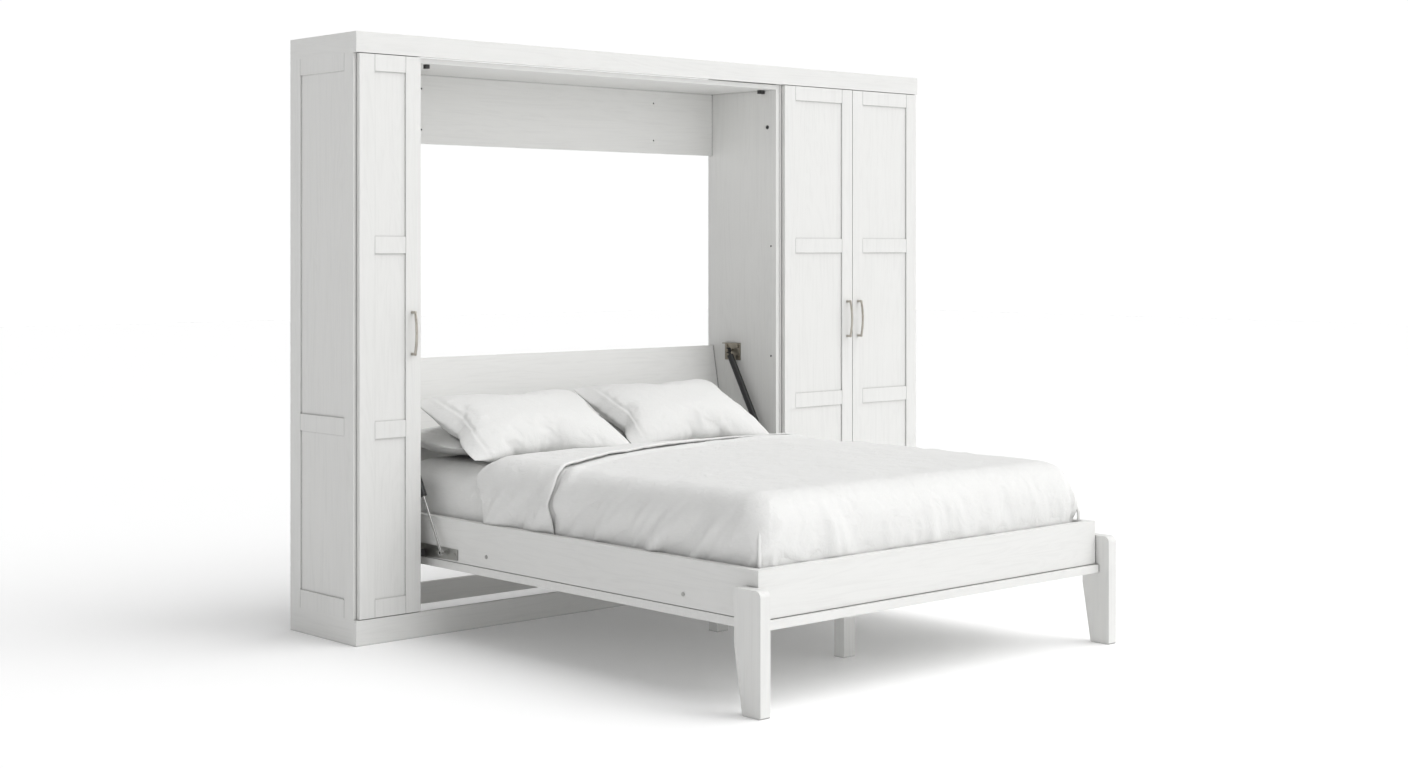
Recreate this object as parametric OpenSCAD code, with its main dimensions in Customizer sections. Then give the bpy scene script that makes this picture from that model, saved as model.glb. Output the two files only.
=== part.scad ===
// Murphy wall bed: a wide cabinet with a fold-down bed in its middle bay, a narrow
// cupboard on its left and a two-door closet on its right. Millimetres, +Z up.
// Local layout: X runs along the cabinet from its left side, Y from the plane of the
// door faces towards the wall, and place() moves that layout onto the part's origin,
// which is the middle of the floor area of the open bed and cabinet.

/* [Cabinet] */
// Width over both outer sides
cab_w = 2995; // [2400:5:3600]
// Depth from the door faces to the wall
cab_d = 448; // [420:1:600]
// Height to the top of the cap
cab_h = 2197; // [2150:1:2400]
// Thickness of the cabinet boards
board_t = 19; // [15:1:25]
// Height of the cap round the top
cap_h = 75; // [50:1:120]
// Height of the plinth
plinth_h = 92; // [60:1:120]
// Left side to the left edge of the bed bay
bay_left = 276; // [240:1:400]
// Left side to the right edge of the bed bay
bay_right = 2113; // [1900:1:2300]
// Height of the board across the top of the bay's open back
upper_back_h = 270; // [150:5:500]

/* [Doors] */
// Thickness of a door with its applied frame
door_t = 18.5; // [16:0.5:24]
// How far the applied frame stands proud of the slab
frame_t = 6; // [3:1:10]
// Width of a door stile
stile_w = 64; // [40:1:90]
// Width of a door rail
rail_w = 61; // [40:1:90]
// Bottom edge of the upper middle rail
mid_rail_high = 1403; // [1200:1:1600]
// Bottom edge of the lower middle rail
mid_rail_low = 737; // [600:1:900]
// Distance between the two posts of a pull
pull_spacing = 152; // [96:1:192]
// Height of the middle of a pull
pull_z = 1112; // [900:1:1300]

/* [Bed] */
// Mattress width
mattress_w = 1590; // [1400:10:1800]
// Mattress length
mattress_l = 1980; // [1900:10:2100]
// Mattress thickness
mattress_t = 295; // [200:1:320]
// Thickness of the bed's rails
rail_t = 30; // [20:1:40]
// Top of the bed's rails
rail_top = 439; // [380:1:480]
// Underside of the bed's bottom panel
bed_under = 255; // [220:1:300]
// Thickness of the bottom panel
panel_t = 28; // [18:1:32]
// Front of the foot board, measured out from the door faces
foot_reach = 1725; // [1600:1:1900]

/* [Legs] */
// Width of a foot leg across the bed
leg_w = 42; // [35:1:60]
// Depth of a foot leg at its top
leg_deep = 116; // [80:1:140]
// Depth of a foot leg at the floor
leg_deep_foot = 81; // [50:1:120]
// Height of a foot leg
leg_h = 387; // [350:1:430]

/* [Hidden] */

$fn = 48;
white = [0.93, 0.93, 0.92];
shade = [0.86, 0.86, 0.85];
linen = [0.97, 0.97, 0.96];
steel = [0.62, 0.62, 0.62];
nickel = [0.70, 0.68, 0.64];
black = [0.08, 0.08, 0.08];
birch = [0.85, 0.76, 0.60];

// Cabinet levels and faces
cap_low = cab_h - cap_h;
carcass_front = board_t + 1.5;
ceiling_z = 2100;
side_t = board_t + frame_t;
back_t = 6;
door_low = 95;
door_high = cap_low - 3;
pier_door_x = [14, bay_left];
closet_x = bay_right + 34;
closet_gap = 3;
closet_right_edge = cab_w - 10;
closet_mid = (closet_x + closet_right_edge) / 2;
closet_left_x = [closet_x, closet_mid - closet_gap / 2];
closet_right_x = [closet_mid + closet_gap / 2, closet_right_edge];

// Bed levels and faces
rail_low = bed_under + panel_t;
bed_x = [bay_left + 51, bay_right - 101];
bed_mid = (bed_x[0] + bed_x[1]) / 2;
foot_front = -foot_reach;
foot_back = foot_front + rail_t;
head_end = 327;
panel_head = 250;
ledge = 15;
slat_z = [314, 332];
mattress_x = [bed_mid - mattress_w / 2, bed_mid + mattress_w / 2];
mattress_y = [foot_back + 15, foot_back + 15 + mattress_l];
mattress_z = [slat_z[1] + 1, slat_z[1] + 1 + mattress_t];

// The fold: everything on the bed turns about this line
fold_y = 50;
fold_z = 300;
fold_pin_r = 8;
running = 0.05;

// Foot legs
leg_front = -1782;
leg_pin = [-1683, 356];
leg_pin_r = 6;
leg_gap = 4;
leg_taper_z = 213;
leg_x_left = [bed_x[0] - leg_gap - leg_w, bed_x[0] - leg_gap];
leg_x_right = [bed_x[1] + leg_gap, bed_x[1] + leg_gap + leg_w];

// Centre legs
mid_leg_w = 55;
mid_leg_deep = 46;
mid_leg_z = 289;
mid_leg_front_y = -1283;
mid_leg_rear_y = -637;
mid_pin_r = 4;
beam_t = 22;
beam_x = mid_leg_w / 2 + 2;

// Tilting headboard
board_pin = [422, 980];
board_pin_r = 4;
board_tilt = 10.5;
board_low = 560;
board_high = 993;

// Gas struts
strut_top = [288, 977];
strut_low = [-92, 316];
strut_len = norm(strut_top - strut_low);
strut_lean = atan((strut_top[0] - strut_low[0]) / (strut_top[1] - strut_low[1]));
strut_x_left = bay_left + 26;
strut_x_right = bay_right - 28;
tube_r = 14;
tube_end = 535;
rod_r = 5;
rod_len = 530;
stud_r = 5;

module place() {
    translate([-cab_w / 2, -(leg_front + cab_d) / 2, 0]) children();
}

// A board between two corners, given as ranges
module board(x, y, z) {
    translate([x[0], y[0], z[0]]) cube([x[1] - x[0], y[1] - y[0], z[1] - z[0]]);
}

// A round bar along X from x[0] to x[1] at [y, z]
module bar_x(x, at, r) {
    translate([x[0], at[0], at[1]]) rotate([0, 90, 0]) cylinder(r = r, h = x[1] - x[0]);
}

// A profile in the Y-Z plane, extruded along X from x[0] to x[1]
module profile_x(x) {
    translate([x[0], 0, 0]) rotate([90, 0, 90]) linear_extrude(x[1] - x[0]) children();
}

// ---- Cabinet ----

module top_board() {
    color(white) place()
        board([side_t, cab_w - side_t], [board_t, cab_d], [cab_h - board_t, cab_h]);
}

module front_fascia() {
    color(white) place() board([0, cab_w], [0, board_t], [cap_low, cab_h]);
}

module fascia_returns() {
    color(white) place() for (x = [0, cab_w - side_t])
        board([x, x + side_t], [board_t, cab_d], [cap_low, cab_h]);
}

module plinth_front() {
    color(white) place() board([0, cab_w], [0, board_t], [0, plinth_h]);
}

module plinth_returns() {
    color(white) place() for (x = [0, cab_w - side_t])
        board([x, x + side_t], [board_t, cab_d], [0, plinth_h]);
}

// Groove, as wide as it is deep, where the end of a rail meets a stile
joint = 1.5;

// Outer side: a slab with an applied frame of two stiles and three rails
side_stile_front = 60;
side_stile_back = 69;
side_rails_z = [[plinth_h, 159], [748, 810], [2061, cap_low]];

module outer_side() {
    y = [board_t, cab_d];
    z = [plinth_h, cap_low];
    panel_y = [y[0] + side_stile_front, y[1] - side_stile_back];
    difference() {
        union() {
            board([frame_t, side_t], [carcass_front, cab_d], z);
            board([0, frame_t], [y[0], panel_y[0]], z);
            board([0, frame_t], [panel_y[1], y[1]], z);
            for (rail_z = side_rails_z) board([0, frame_t], y, rail_z);
        }
        for (rail_z = side_rails_z, low_y = [panel_y[0], panel_y[1] - joint])
            board([-1, joint], [low_y, low_y + joint], [rail_z[0] - 1, rail_z[1] + 1]);
    }
}

module left_side_panel() { color(white) place() outer_side(); }

module right_side_panel() {
    color(white) place() translate([cab_w, 0, 0]) mirror([1, 0, 0]) outer_side();
}

// A full-height panel inside the cabinet
module upright(x) {
    board([x, x + board_t], [carcass_front, cab_d], [0, cab_h - board_t]);
}

// Gaps between the bay's panels and the cupboards' own panels
pier_gap = 1;
closet_panel_gap = 2;

module pier_inner_panel() {
    color(shade) place() upright(bay_left - 2 * board_t - pier_gap);
}

// How far the headboard's pins reach into the bay panels and into the headboard
pin_seat = 15;
pin_depth = 40;

module bay_left_panel() {
    color(white) place() difference() {
        upright(bay_left - board_t);
        bar_x([bay_left - pin_seat - 1, bay_left + 1], board_pin, board_pin_r + running);
    }
}

module bay_right_panel() {
    color(white) place() difference() {
        upright(bay_right);
        bar_x([bay_right - 1, bay_right + pin_seat + 1], board_pin, board_pin_r + running);
    }
}

module closet_inner_panel() {
    color(shade) place() upright(bay_right + board_t + closet_panel_gap);
}

module bay_ceiling() {
    color(white) place()
        board([bay_left, bay_right], [board_t, cab_d], [ceiling_z, ceiling_z + board_t]);
}

// Upper back panel, with holes for the screws that hold the cabinet to the wall
upper_back_y = [422, 422 + board_t];
wall_screw_r = 4;
wall_screw_reach = 600;
wall_screw_inset = 55;
wall_screw_x = [bed_mid - wall_screw_reach, bed_mid + wall_screw_reach];
wall_screw_z = [ceiling_z - upper_back_h + wall_screw_inset, ceiling_z - wall_screw_inset];

module upper_back_panel() {
    color(white) place() difference() {
        board([bay_left, bay_right], upper_back_y, [ceiling_z - upper_back_h, ceiling_z]);
        for (x = wall_screw_x, z = wall_screw_z)
            translate([x, upper_back_y[0] - 1, z]) rotate([-90, 0, 0])
                cylinder(r = wall_screw_r, h = board_t + 2);
    }
}

lower_rail_z = [31, 115];

module lower_back_rail() {
    color(shade) place()
        board([bay_left, bay_right], [cab_d - board_t, cab_d], lower_rail_z);
}

// Insides of the two cupboards
pier_x = [side_t, bay_left - 2 * board_t - pier_gap];
closet_in_x = [bay_right + 2 * board_t + closet_panel_gap, cab_w - side_t];
back_y = [cab_d - back_t, cab_d];
inner_y = [carcass_front + 2, cab_d - back_t];
pier_shelf_z = [plinth_h, 480, 870, 1260, 1650];
closet_shelf_z = [plinth_h, 1800];

module pier_back() {
    color(shade) place() board(pier_x, back_y, [plinth_h, cab_h - board_t]);
}

module closet_back() {
    color(shade) place() board(closet_in_x, back_y, [plinth_h, cab_h - board_t]);
}

module pier_shelves() {
    color(white) place() for (z = pier_shelf_z)
        board(pier_x, inner_y, [z, z + board_t]);
}

module closet_shelves() {
    color(white) place() for (z = closet_shelf_z)
        board(closet_in_x, inner_y, [z, z + board_t]);
}

// A round rail with a flanged socket at each end
module hanging_rail() {
    at = [230, 1730];
    pole_r = 12.5;
    flange_r = 24;
    flange_t = 4;
    color(steel) place() {
        bar_x([closet_in_x[0] + flange_t, closet_in_x[1] - flange_t], at, pole_r);
        for (x = [closet_in_x[0], closet_in_x[1] - flange_t])
            bar_x([x, x + flange_t], at, flange_r);
    }
}

// ---- Pivots, struts' upper brackets and small hardware ----

// Steel plates on the bay's panels, each with the pin that the bed turns on
plate_t = 4;
pivot_plate_y = [fold_y - 28, fold_y + 62];
pivot_plate_z = [fold_z - 45, fold_z + 60];
slip = 0.5;

module pivot_plates() {
    color(steel) place() {
        board([bay_left, bay_left + plate_t], pivot_plate_y, pivot_plate_z);
        bar_x([bay_left + plate_t / 2, bed_x[0] - slip], [fold_y, fold_z], fold_pin_r);
        board([bay_right - plate_t, bay_right], pivot_plate_y, pivot_plate_z);
        bar_x([bed_x[1] + slip, bay_right - plate_t / 2], [fold_y, fold_z], fold_pin_r);
    }
}

// Plastic spacers on the pins, between the pivot plates and the rail plates
bush_r = 14;

module bush(x) {
    difference() {
        bar_x(x, [fold_y, fold_z], bush_r);
        bar_x([x[0] - 1, x[1] + 1], [fold_y, fold_z], fold_pin_r + running);
    }
}

module pivot_bushes() {
    color(black) place() {
        bush([bay_left + plate_t + slip, bed_x[0] - plate_t - 3 * slip]);
        bush([bed_x[1] + plate_t + 3 * slip, bay_right - plate_t - slip]);
    }
}

// Upper strut bracket: a bent plate on the panel, four bolts and the stud
bracket_y = [-48, 48];
bracket_z = [-42, 32];
lip_out = 20;
lip_z = [28, 32];
bracket_bolts = [[-34, -30], [34, -30], [-34, 18], [34, 18]];
stud_len = 40;
stud_nut_r = 9;
bolt_r = 6.5;
nut_t = 5;

module strut_bracket(face, side) {
    translate([face, strut_top[0], strut_top[1]]) mirror([side < 0 ? 1 : 0, 0, 0]) {
        board([0, plate_t], bracket_y, bracket_z);
        board([plate_t, lip_out], bracket_y, lip_z);
        bar_x([0, stud_len], [0, 0], stud_r);
        bar_x([stud_len - plate_t, stud_len - plate_t + nut_t], [0, 0], stud_nut_r, $fn = 6);
        for (at = bracket_bolts) bar_x([plate_t, plate_t + nut_t], at, bolt_r, $fn = 6);
    }
}

module strut_brackets() {
    color(nickel) place() {
        strut_bracket(bay_left, 1);
        strut_bracket(bay_right, -1);
    }
}

// Heads of the bolts that join each bay panel to its neighbour
bolt_head_t = 2.5;
large_bolt = [72, 1941];
small_bolts = [[50, 1431], [50, 961]];

module panel_bolts() {
    color(black) place() for (x = [bay_left, bay_right - bolt_head_t]) {
        bar_x([x, x + bolt_head_t], large_bolt, 8);
        for (at = small_bolts) bar_x([x, x + bolt_head_t], at, 3.5);
    }
}

// Stops under the bay's ceiling that the stowed bed closes against
catch_z = [ceiling_z - 15, ceiling_z];

module bed_catches() {
    color(black) place() {
        board([330, 346], [44, 62], catch_z);
        board([bay_right - 28, bay_right - 2], [88, 106], catch_z);
    }
}

// A hinge's plate on the cupboard's side, with its arm; side is the way that it faces
hinge_z = [190, 1120, 2020];
hinge_plate = [7, 48, 28];
hinge_arm_size = [9, 50, 16];

module hinge_arm(x, side, z) {
    translate([x, carcass_front + 3.5, z]) mirror([side < 0 ? 1 : 0, 0, 0]) {
        translate([0, 12, -hinge_plate[2] / 2]) cube(hinge_plate);
        translate([hinge_plate[0], 0, -hinge_arm_size[2] / 2]) cube(hinge_arm_size);
    }
}

module door_hinges() {
    color(steel) place() for (z = hinge_z) {
        hinge_arm(side_t, 1, z);
        hinge_arm(closet_in_x[0], 1, z);
        hinge_arm(closet_in_x[1], -1, z);
    }
}

// ---- Doors ----

// A slab with an applied frame: two stiles, a top and a bottom rail, two middle rails
bottom_rail = 64;
top_rail = 60;
door_rails_z = [
    [door_low, door_low + bottom_rail],
    [mid_rail_low, mid_rail_low + rail_w],
    [mid_rail_high, mid_rail_high + rail_w],
    [door_high - top_rail, door_high]
];

module door(x) {
    z = [door_low, door_high];
    panel_x = [x[0] + stile_w, x[1] - stile_w];
    difference() {
        union() {
            board(x, [frame_t, door_t], z);
            board([x[0], panel_x[0]], [0, frame_t], z);
            board([panel_x[1], x[1]], [0, frame_t], z);
            for (rail_z = door_rails_z) board(x, [0, frame_t], rail_z);
        }
        for (rail_z = door_rails_z, low_x = [panel_x[0], panel_x[1] - joint])
            board([low_x, low_x + joint], [-1, joint], [rail_z[0] - 1, rail_z[1] + 1]);
    }
}

module pier_door() { color(white) place() door(pier_door_x); }
module closet_left_door() { color(white) place() door(closet_left_x); }
module closet_right_door() { color(white) place() door(closet_right_x); }

// A bow pull: two posts with round heads and an arched bar between them
pull_out = 30;
pull_sag = 9;
pull_bar_r = 5;
pull_knob_r = 6;
pull_inset = [38, 33];

module pull(x) {
    half = pull_spacing / 2;
    arc_r = (half * half + pull_sag * pull_sag) / (2 * pull_sag);
    arc_half = asin(half / arc_r);
    translate([x, 0, pull_z]) {
        for (side = [-1, 1]) translate([0, slip - (pull_out - pull_sag), side * half]) {
            rotate([-90, 0, 0]) cylinder(r = pull_bar_r, h = pull_out - pull_sag - slip);
            sphere(r = pull_knob_r);
        }
        translate([0, arc_r - pull_out, 0]) rotate([0, 90, 0]) rotate([0, 0, -90 - arc_half])
            rotate_extrude(angle = 2 * arc_half, $fn = 192) translate([arc_r, 0])
                circle(r = pull_bar_r, $fn = 24);
    }
}

module pier_handle() { color(nickel) place() pull(pier_door_x[1] - pull_inset[0]); }
module closet_left_handle() { color(nickel) place() pull(closet_left_x[1] - pull_inset[1]); }
module closet_right_handle() { color(nickel) place() pull(closet_right_x[0] + pull_inset[1]); }

// ---- Headboard, hung from pins at its top so that it swings back as the bed folds ----

module tilted() {
    translate([0, board_pin[0], board_pin[1]]) rotate([-board_tilt, 0, 0])
        translate([0, -board_pin[0], -board_pin[1]]) children();
}

headboard_x = [bay_left + 3, bay_right - 3];

module headboard() {
    y = [board_pin[0] - board_t / 2, board_pin[0] + board_t / 2];
    color(white) place() tilted() difference() {
        board(headboard_x, y, [board_low, board_high]);
        for (x = [headboard_x[0] - 1, headboard_x[1] - pin_depth])
            bar_x([x, x + pin_depth + 1], board_pin, board_pin_r);
    }
}

module headboard_pins() {
    color(steel) place() {
        bar_x([bay_left - pin_seat, headboard_x[0] + pin_depth], board_pin, board_pin_r);
        bar_x([headboard_x[1] - pin_depth, bay_right + pin_seat], board_pin, board_pin_r);
    }
}

// ---- Bed ----

// Side rail with a shadow groove along its lower outer edge
groove_deep = 6;
groove_h = 3;

module side_rail(x, groove_x) {
    difference() {
        board(x, [foot_back, head_end], [rail_low, rail_top]);
        board(groove_x, [foot_back - 1, head_end + 1], [rail_low - 1, rail_low + groove_h]);
        bar_x([x[0] - 1, x[1] + 1], leg_pin, leg_pin_r);
    }
}

module side_rail_left() {
    color(white) place()
        side_rail([bed_x[0], bed_x[0] + rail_t], [bed_x[0] - 1, bed_x[0] + groove_deep]);
}

module side_rail_right() {
    color(white) place()
        side_rail([bed_x[1] - rail_t, bed_x[1]], [bed_x[1] - groove_deep, bed_x[1] + 1]);
}

module foot_board() {
    color(white) place() difference() {
        board(bed_x, [foot_front, foot_back], [rail_low, rail_top]);
        board([bed_x[0] - 1, bed_x[1] + 1], [foot_front - 1, foot_front + groove_deep],
              [rail_low - 1, rail_low + groove_h]);
    }
}

bed_in_x = [bed_x[0] + rail_t, bed_x[1] - rail_t];

module head_rail() {
    color(white) place()
        board(bed_in_x, [head_end - board_t, head_end], [rail_low, rail_top]);
}

// The slot that a centre leg folds up into
module leg_slot(pin_y) {
    board([bed_mid - beam_x, bed_mid + beam_x],
          [pin_y - mid_leg_deep / 2 - 6, pin_y + mid_leg_z + 6], [bed_under - 1, rail_low + 1]);
}

module bottom_panel() {
    color(white) place() difference() {
        board(bed_x, [foot_front - ledge, panel_head], [bed_under, rail_low]);
        leg_slot(mid_leg_front_y);
        leg_slot(mid_leg_rear_y);
    }
}

// Ledgers on the side rails and a pair of beams that the centre legs hang between
module slat_bearers() {
    y = [foot_back, head_end - board_t];
    z = [rail_low, slat_z[0]];
    color(white) place() difference() {
        union() {
            board([bed_in_x[0], bed_in_x[0] + beam_t], y, z);
            board([bed_in_x[1] - beam_t, bed_in_x[1]], y, z);
            board([bed_mid - beam_x - beam_t, bed_mid - beam_x], y, z);
            board([bed_mid + beam_x, bed_mid + beam_x + beam_t], y, z);
        }
        for (pin_y = [mid_leg_front_y, mid_leg_rear_y])
            bar_x(mid_pin_x, [pin_y, mid_leg_z], mid_pin_r);
    }
}
mid_pin_x = [bed_mid - beam_x - 18, bed_mid + beam_x + 18];

slat_count = 13;
slat_w = 90;
slat_margin = 20;

module slats() {
    first = foot_back + slat_margin;
    pitch = (head_end - board_t - slat_margin - slat_w - first) / (slat_count - 1);
    color(birch) place() for (i = [0 : slat_count - 1])
        board([bed_in_x[0] + 1, bed_in_x[1] - 1],
              [first + i * pitch, first + i * pitch + slat_w], slat_z);
}

// Steel plates on the rails: the bearing for the fold pin and the strut's lower stud
rail_plate_outline = [[fold_y + 30, 286], [fold_y + 30, 334], [-162, 331], [-162, 293]];
rail_plate_bolts = [[-146, 312], [-30, 312]];
stud_collar_r = 10;

module rail_plate(x, stud_x) {
    difference() {
        profile_x(x) polygon(rail_plate_outline);
        bar_x([x[0] - 1, x[1] + 1], [fold_y, fold_z], fold_pin_r + running);
    }
    bar_x(stud_x, strut_low, stud_r);
    outer = stud_x[0] < x[0] ? [x[0] - bolt_head_t, x[0]] : [x[1], x[1] + bolt_head_t];
    for (at = rail_plate_bolts) bar_x(outer, at, bolt_r);
    bar_x(outer, strut_low, stud_collar_r);
}

module rail_plates() {
    left = [bed_x[0] - plate_t, bed_x[0]];
    right = [bed_x[1], bed_x[1] + plate_t];
    color(steel) place() {
        rail_plate(left, [strut_x_left + eye_half + slip, left[0]]);
        rail_plate(right, [right[1], strut_x_right - eye_half - slip]);
    }
}

// Heads of the bolts that hold the slat ledgers to the side rails
rail_bolts_at = [[-334, 325], [-1382, 325]];

module rail_bolts() {
    color(steel) place() for (at = rail_bolts_at) {
        bar_x([bed_x[0] - bolt_head_t, bed_x[0]], at, bolt_r);
        bar_x([bed_x[1], bed_x[1] + bolt_head_t], at, bolt_r);
    }
}

// Pins that the four legs fold on; the foot legs' pins are blind and carry a washer each
leg_skin = 8;
washer_r = 14;
washer_slip = 0.2;
left_pin_x = [leg_x_left[0] + leg_skin, bed_x[0] + rail_t - 4];
right_pin_x = [bed_x[1] - rail_t + 4, leg_x_right[1] - leg_skin];

module leg_pins() {
    color(steel) place() {
        bar_x(left_pin_x, leg_pin, leg_pin_r);
        bar_x([leg_x_left[1] + washer_slip, bed_x[0]], leg_pin, washer_r);
        bar_x(right_pin_x, leg_pin, leg_pin_r);
        bar_x([bed_x[1], leg_x_right[0] - washer_slip], leg_pin, washer_r);
        for (pin_y = [mid_leg_front_y, mid_leg_rear_y])
            bar_x(mid_pin_x, [pin_y, mid_leg_z], mid_pin_r);
    }
}

// ---- Bedding ----

// Side profile of the mattress, grown by a skin; its head end has a large round so
// that it clears the wall as the bed turns
head_round = 80;
foot_round = 45;

module mattress_side(skin = 0) {
    y = [mattress_y[0] - skin, mattress_y[1] + skin];
    z = [mattress_z[0], mattress_z[1] + skin];
    head_r = head_round + skin;
    foot_r = foot_round + skin;
    translate([y[0], z[0]]) square([y[1] - y[0], z[1] - z[0] - head_r]);
    translate([y[0] + foot_r, z[0]]) square([y[1] - y[0] - foot_r - head_r, z[1] - z[0]]);
    translate([y[0], z[0]]) square([foot_r + 1, z[1] - z[0] - foot_r]);
    translate([y[0] + foot_r, z[1] - foot_r]) circle(r = foot_r);
    translate([y[1] - head_r, z[1] - head_r]) circle(r = head_r);
}

module mattress() {
    color(linen) place() profile_x(mattress_x) mattress_side();
}

// A cloth skin over the mattress between two skins' thicknesses and two stations
module cloth(inner, outer, y, low) {
    x_in = [mattress_x[0] - inner, mattress_x[1] + inner];
    x_out = [mattress_x[0] - outer, mattress_x[1] + outer];
    intersection() {
        difference() {
            profile_x(x_out) mattress_side(outer);
            profile_x(x_in) mattress_side(inner);
        }
        board([x_out[0] - 1, x_out[1] + 1], y, [low, mattress_z[1] + outer + 1]);
    }
}

sheet_skin = 2.5;
band_skin = 8;
duvet_top_t = 20.5;
band_y = [-665, -278];
tuck_low = 400;

module fitted_sheet() {
    color(linen) place()
        cloth(0, sheet_skin, [mattress_y[0] - 5, mattress_y[1] + 5], mattress_z[0] + 20);
}

module top_sheet() { color(linen) place() cloth(sheet_skin, band_skin, band_y, tuck_low); }

// The duvet: a thick cover on top, thin where it is tucked inside the rails
module duvet() {
    inset = 12;
    color(linen) place() {
        cloth(sheet_skin, band_skin, [mattress_y[0] - inset, band_y[0]], tuck_low);
        board([mattress_x[0] + inset, mattress_x[1] - inset],
              [mattress_y[0] + foot_round, band_y[0]],
              [mattress_z[1] + band_skin - 2, mattress_z[1] + duvet_top_t]);
    }
}

// A pillow: a lens-shaped slab between two arcs, laid from its front edge at [y, z]
pillow_l = 730;
pillow_x = [753, 1513];
front_pillow = [-200, 650];
front_pillow_deep = 390;
front_pillow_t = 120;
front_pillow_lean = 33;
rear_pillow = [-60, 674];
rear_pillow_deep = 410;
rear_pillow_t = 86;

module pillow(x, edge, deep, thick, lean = 0) {
    arc_r = (deep * deep / 4 + thick * thick / 4) / thick;
    translate([0, edge[0], edge[1]]) rotate([lean, 0, 0])
        profile_x([x - pillow_l / 2, x + pillow_l / 2]) intersection() {
            translate([deep / 2, arc_r - thick / 2]) circle(r = arc_r, $fn = 200);
            translate([deep / 2, thick / 2 - arc_r]) circle(r = arc_r, $fn = 200);
        }
}

module pillow_in_front(x) {
    color(linen) place()
        pillow(x, front_pillow, front_pillow_deep, front_pillow_t, front_pillow_lean);
}

module pillow_behind(x) {
    color(linen) place() pillow(x, rear_pillow, rear_pillow_deep, rear_pillow_t);
}

module front_pillow_left() { pillow_in_front(pillow_x[0]); }
module front_pillow_right() { pillow_in_front(pillow_x[1]); }
module rear_pillow_left() { pillow_behind(pillow_x[0]); }
module rear_pillow_right() { pillow_behind(pillow_x[1]); }

// ---- Legs ----

// A foot leg: upright in front, tapered behind below the taper's start, rounded top
module foot_leg(x, bore_x) {
    front_r = 22;
    back_r = 8;
    back = leg_front + leg_deep;
    foot = leg_front + leg_deep_foot;
    chamfer = 4;
    outline = [
        [leg_front + chamfer, 0], [foot - chamfer, 0], [foot, chamfer], [back, leg_taper_z],
        [back, leg_h - back_r], [back - back_r, leg_h], [leg_front + front_r, leg_h],
        [leg_front, leg_h - front_r], [leg_front, chamfer]
    ];
    difference() {
        profile_x(x) {
            polygon(outline);
            translate([leg_front + front_r, leg_h - front_r]) circle(r = front_r);
            translate([back - back_r, leg_h - back_r]) circle(r = back_r);
        }
        bar_x(bore_x, leg_pin, leg_pin_r + running);
    }
}

module foot_leg_left() {
    color(white) place() foot_leg(leg_x_left, [left_pin_x[0] - 1, leg_x_left[1] + 1]);
}

module foot_leg_right() {
    color(white) place() foot_leg(leg_x_right, [leg_x_right[0] - 1, right_pin_x[1] + 1]);
}

// A centre leg with a round top about its pin
module centre_leg(pin_y) {
    x = [bed_mid - mid_leg_w / 2, bed_mid + mid_leg_w / 2];
    r = mid_leg_deep / 2;
    difference() {
        union() {
            board(x, [pin_y - r, pin_y + r], [0, mid_leg_z]);
            bar_x(x, [pin_y, mid_leg_z], r);
        }
        bar_x([x[0] - 1, x[1] + 1], [pin_y, mid_leg_z], mid_pin_r + running);
    }
}

module centre_leg_front() { color(white) place() centre_leg(mid_leg_front_y); }
module centre_leg_rear() { color(white) place() centre_leg(mid_leg_rear_y); }

// ---- Gas struts: a tube hung from the cabinet and a rod that slides out of it ----

eye_half = 6;
eye_r = 12;
bore_r = 9;

module along_strut(x) {
    translate([x, strut_top[0], strut_top[1]]) rotate([-strut_lean, 0, 0]) children();
}

// A closed tube on a short neck below its eye; the rod enters at its low end
tube_high = 24;
bore_high = 45;
neck_r = 6;
neck = [-26, -8];
mouth = 18;

module strut_tube(x) {
    color(black) place() along_strut(x) difference() {
        union() {
            translate([0, 0, -tube_end]) cylinder(r = tube_r, h = tube_end - tube_high);
            translate([0, 0, neck[0]]) cylinder(r = neck_r, h = neck[1] - neck[0]);
            bar_x([-eye_half, eye_half], [0, 0], eye_r);
        }
        bar_x([-eye_half - 1, eye_half + 1], [0, 0], stud_r + running);
        translate([0, 0, mouth - tube_end])
            cylinder(r = bore_r, h = tube_end - mouth - bore_high);
        translate([0, 0, -tube_end - 1]) cylinder(r = rod_r + running, h = mouth + 2);
    }
}

// A rod with a piston at its top end and an eye, loose on its stud, at its low end
piston_t = 14;
rod_eye_r = 10;

module strut_rod(x) {
    low_end = -strut_len;
    color(steel) place() along_strut(x) difference() {
        union() {
            translate([0, 0, low_end + rod_eye_r - 1])
                cylinder(r = rod_r, h = rod_len - rod_eye_r + 1);
            translate([0, 0, low_end + rod_len - piston_t])
                cylinder(r = bore_r - running, h = piston_t);
            bar_x([-eye_half, eye_half], [0, low_end], rod_eye_r);
        }
        bar_x([-eye_half - 1, eye_half + 1], [0, low_end], stud_r + slip);
    }
}

module strut_tube_left() { strut_tube(strut_x_left); }
module strut_rod_left() { strut_rod(strut_x_left); }
module strut_tube_right() { strut_tube(strut_x_right); }
module strut_rod_right() { strut_rod(strut_x_right); }

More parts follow.
